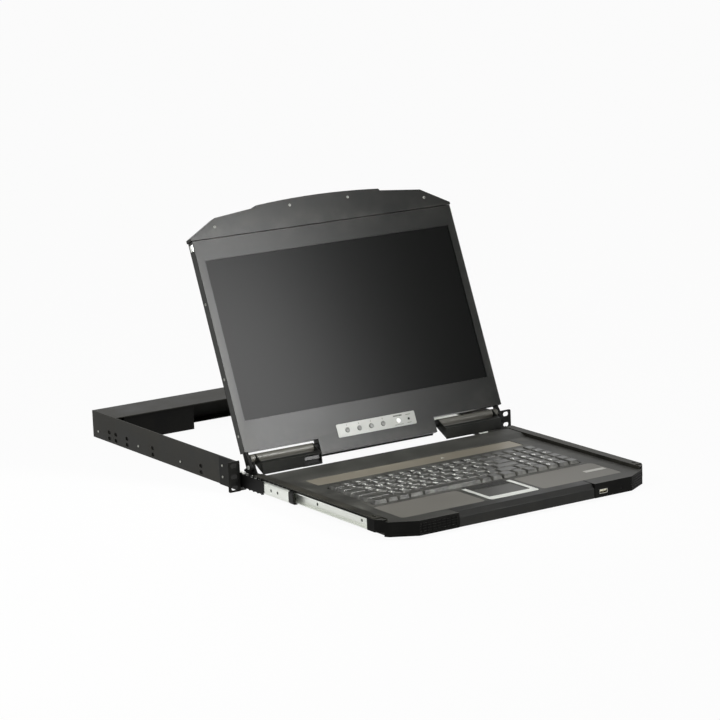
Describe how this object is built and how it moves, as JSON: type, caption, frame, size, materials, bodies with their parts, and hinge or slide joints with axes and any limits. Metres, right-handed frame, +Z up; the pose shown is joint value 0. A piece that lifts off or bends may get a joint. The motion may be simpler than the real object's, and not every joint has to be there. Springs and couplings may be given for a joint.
{
  "type": "rackmount lcd console drawer",
  "caption": "Rackmount console drawer: keyboard tray on telescopic slides with touchpad and a hinged flat display that folds down and slides into a shallow chassis.",
  "frame": {"origin": "centre of the rack ears' slot pattern, on the plane of the ears' rear faces", "axes": "+Z up, +Y into the rack, +X to the user's right; the drawer pulls out towards -Y"},
  "size_m": [0.4826, 0.8178, 0.3789],
  "materials": {
    "chassis_paint": "fine black powder coat",
    "display_paint": "satin black coat",
    "zinc_steel": "bright zinc plate",
    "black_plastic": "moulded black",
    "deck_plastic": "fine textured charcoal",
    "key_plastic": "matt black caps",
    "silver_plate": "satin silver",
    "barrel_metal": "warm grey coat",
    "screen": "dark anti-glare panel",
    "board": "solder mask",
    "button_plastic": "dark grey buttons"
  },
  "bodies": {
    "chassis": {"rail_left": "chassis_paint", "rail_right": "chassis_paint", "ear_left": "chassis_paint", "ear_right": "chassis_paint", "rear_channel": "chassis_paint", "electronics_box": "chassis_paint", "power_jack": "zinc_steel", "console_port": "zinc_steel", "slide_outer_left": "zinc_steel", "slide_outer_right": "zinc_steel", "chassis_rivets": "zinc_steel"},
    "middle_left": {"slide_middle_left": "zinc_steel", "slide_stop_left": "black_plastic"},
    "middle_right": {"slide_middle_right": "zinc_steel", "slide_stop_right": "black_plastic"},
    "cage_left": {"ball_cage_left": "zinc_steel"},
    "cage_right": {"ball_cage_right": "zinc_steel"},
    "drawer": {"drawer_tray": "chassis_paint", "slide_inner_left": "zinc_steel", "slide_inner_right": "zinc_steel", "deck": "deck_plastic", "accent_strip": "silver_plate", "front_bar": "black_plastic", "grip_left": "black_plastic", "grip_right": "black_plastic", "usb_socket": "zinc_steel", "keyboard_base": "black_plastic", "touchpad": "black_plastic", "pad_frame": "silver_plate", "hinge_bracket_left": "chassis_paint", "hinge_bracket_right": "chassis_paint", "hinge_pins": "zinc_steel"},
    "display": {"lcd_bezel": "display_paint", "lcd_panel": "screen", "lcd_board": "board", "lcd_back": "chassis_paint", "lcd_header": "display_paint", "lcd_screws": "zinc_steel", "control_plate": "silver_plate", "hinge_arm_left": "display_paint", "hinge_arm_right": "display_paint", "hinge_barrel_left": "barrel_metal", "hinge_barrel_right": "barrel_metal", "hinge_cover_left": "display_paint", "hinge_cover_right": "display_paint", "latch_hooks": "zinc_steel"},
    "keys_function": {"function_keys": "key_plastic"},
    "keys_number": {"number_keys": "key_plastic"},
    "keys_upper_letter": {"upper_letter_keys": "key_plastic"},
    "keys_home_letter": {"home_letter_keys": "key_plastic"},
    "keys_lower_letter": {"lower_letter_keys": "key_plastic"},
    "keys_control": {"control_keys": "key_plastic"},
    "key_space": {"space_bar": "key_plastic"},
    "click_left": {"pad_button_left": "black_plastic"},
    "click_right": {"pad_button_right": "black_plastic"},
    "push_menu_button_1": {"menu_button_1": "button_plastic"},
    "push_menu_button_2": {"menu_button_2": "button_plastic"},
    "push_menu_button_3": {"menu_button_3": "button_plastic"},
    "push_menu_button_4": {"menu_button_4": "button_plastic"},
    "push_power_button": {"power_button": "black_plastic"}
  },
  "joints": [
    {"name": "drawer_slide", "type": "slide", "parent": "chassis", "child": "drawer", "axis": [0, 1, 0], "range_m": [0, 0.35]},
    {"name": "middle_left_slide", "type": "slide", "parent": "chassis", "child": "middle_left", "axis": [0, 1, 0], "range_m": [0, 0.175]},
    {"name": "middle_right_slide", "type": "slide", "parent": "chassis", "child": "middle_right", "axis": [0, 1, 0], "range_m": [0, 0.175]},
    {"name": "cage_left_slide", "type": "slide", "parent": "chassis", "child": "cage_left", "axis": [0, 1, 0], "range_m": [0, 0.0875]},
    {"name": "cage_right_slide", "type": "slide", "parent": "chassis", "child": "cage_right", "axis": [0, 1, 0], "range_m": [0, 0.0875]},
    {"name": "display_hinge", "type": "hinge", "parent": "drawer", "child": "display", "pos_m": [0, -0.014, 0.0128], "axis": [1, 0, 0], "range_deg": [-2.5, 112.5]},
    {"name": "keys_function_travel", "type": "slide", "parent": "drawer", "child": "keys_function", "axis": [0, 0, -1], "range_m": [0, 0.0025], "stiffness_N_per_m": 1500, "springref_m": -0.001},
    {"name": "keys_number_travel", "type": "slide", "parent": "drawer", "child": "keys_number", "axis": [0, 0, -1], "range_m": [0, 0.0025], "stiffness_N_per_m": 1500, "springref_m": -0.001},
    {"name": "keys_upper_letter_travel", "type": "slide", "parent": "drawer", "child": "keys_upper_letter", "axis": [0, 0, -1], "range_m": [0, 0.0025], "stiffness_N_per_m": 1500, "springref_m": -0.001},
    {"name": "keys_home_letter_travel", "type": "slide", "parent": "drawer", "child": "keys_home_letter", "axis": [0, 0, -1], "range_m": [0, 0.0025], "stiffness_N_per_m": 1500, "springref_m": -0.001},
    {"name": "keys_lower_letter_travel", "type": "slide", "parent": "drawer", "child": "keys_lower_letter", "axis": [0, 0, -1], "range_m": [0, 0.0025], "stiffness_N_per_m": 1500, "springref_m": -0.001},
    {"name": "keys_control_travel", "type": "slide", "parent": "drawer", "child": "keys_control", "axis": [0, 0, -1], "range_m": [0, 0.0025], "stiffness_N_per_m": 1500, "springref_m": -0.001},
    {"name": "key_space_travel", "type": "slide", "parent": "drawer", "child": "key_space", "axis": [0, 0, -1], "range_m": [0, 0.0025], "stiffness_N_per_m": 300, "springref_m": -0.001},
    {"name": "click_left_travel", "type": "slide", "parent": "drawer", "child": "click_left", "axis": [0, 0, -1], "range_m": [0, 0.0008], "stiffness_N_per_m": 600, "springref_m": -0.0005},
    {"name": "click_right_travel", "type": "slide", "parent": "drawer", "child": "click_right", "axis": [0, 0, -1], "range_m": [0, 0.0008], "stiffness_N_per_m": 600, "springref_m": -0.0005},
    {"name": "menu_button_1_travel", "type": "slide", "parent": "display", "child": "push_menu_button_1", "axis": [0, 0.9239, -0.3827], "range_m": [0, 0.0006], "stiffness_N_per_m": 400, "springref_m": -0.0005},
    {"name": "menu_button_2_travel", "type": "slide", "parent": "display", "child": "push_menu_button_2", "axis": [0, 0.9239, -0.3827], "range_m": [0, 0.0006], "stiffness_N_per_m": 400, "springref_m": -0.0005},
    {"name": "menu_button_3_travel", "type": "slide", "parent": "display", "child": "push_menu_button_3", "axis": [0, 0.9239, -0.3827], "range_m": [0, 0.0006], "stiffness_N_per_m": 400, "springref_m": -0.0005},
    {"name": "menu_button_4_travel", "type": "slide", "parent": "display", "child": "push_menu_button_4", "axis": [0, 0.9239, -0.3827], "range_m": [0, 0.0006], "stiffness_N_per_m": 400, "springref_m": -0.0005},
    {"name": "power_button_travel", "type": "slide", "parent": "display", "child": "push_power_button", "axis": [0, 0.9239, -0.3827], "range_m": [0, 0.0006], "stiffness_N_per_m": 400, "springref_m": -0.0005}
  ],
  "couplings": [
    {"joint": "middle_left_slide", "follows": "drawer_slide", "ratio": 0.5},
    {"joint": "middle_right_slide", "follows": "drawer_slide", "ratio": 0.5},
    {"joint": "cage_left_slide", "follows": "drawer_slide", "ratio": 0.25},
    {"joint": "cage_right_slide", "follows": "drawer_slide", "ratio": 0.25}
  ]
}
